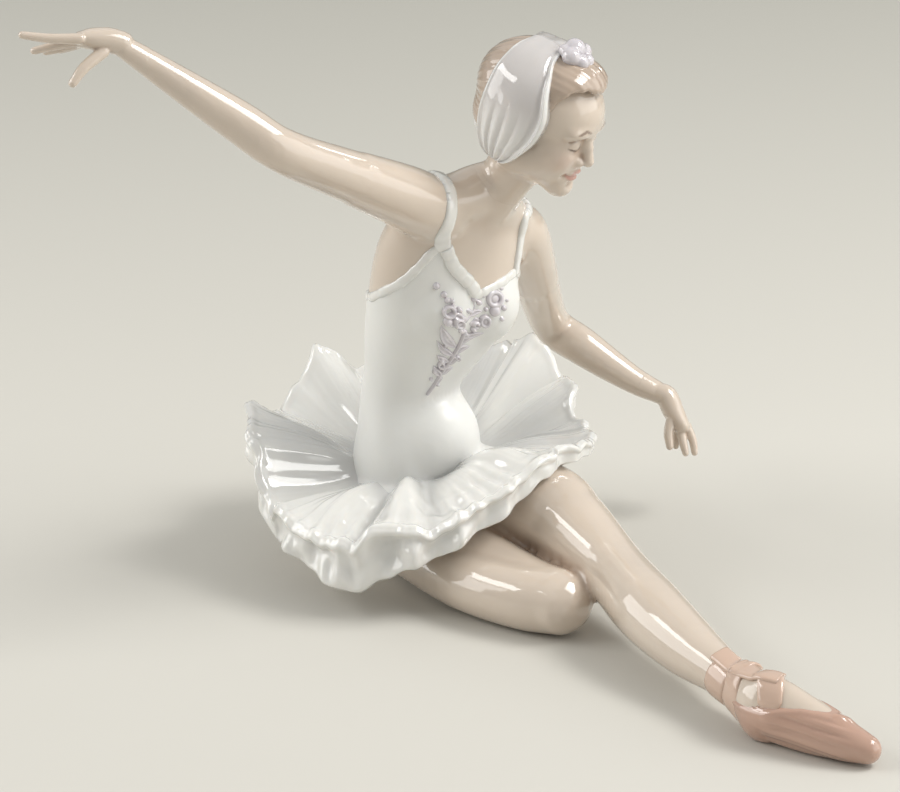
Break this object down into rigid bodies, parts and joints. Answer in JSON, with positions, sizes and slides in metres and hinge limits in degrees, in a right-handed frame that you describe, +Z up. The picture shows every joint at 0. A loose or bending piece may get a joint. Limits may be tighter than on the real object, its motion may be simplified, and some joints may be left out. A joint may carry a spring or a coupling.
{
  "type": "ballerina figurine",
  "caption": "Seated ballet dancer figurine in glazed porcelain, one leg folded and one stretched forward, one arm raised back and one low in front, in a ruffled skirt.",
  "frame": {"origin": "middle of the seat's flat-ground underside, on the surface the figurine stands on", "axes": "+Z up, +X to the viewer's right and -Y towards the viewer of the picture; the stretched leg points towards +X and -Y and the raised arm towards -X"},
  "size_m": [0.2237, 0.2036, 0.1771],
  "materials": {
    "bisque_skin": "porcelain fired with a pale warm skin tint under a clear gloss glaze",
    "white_glaze": "white porcelain with a faint lilac cast under a clear gloss glaze, used on the skirt, bodice and feathers",
    "lilac_relief": "raised slip flowers and beads in pale lilac grey under a clear gloss glaze",
    "hair_tint": "modelled hair in a tan brown underglaze tint, glossy",
    "rose_satin": "dusty rose underglaze on the pointe shoe and ribbons, glossy"
  },
  "bodies": {
    "root": {"ballerina_figurine": "bisque_skin"}
  },
  "joints": []
}
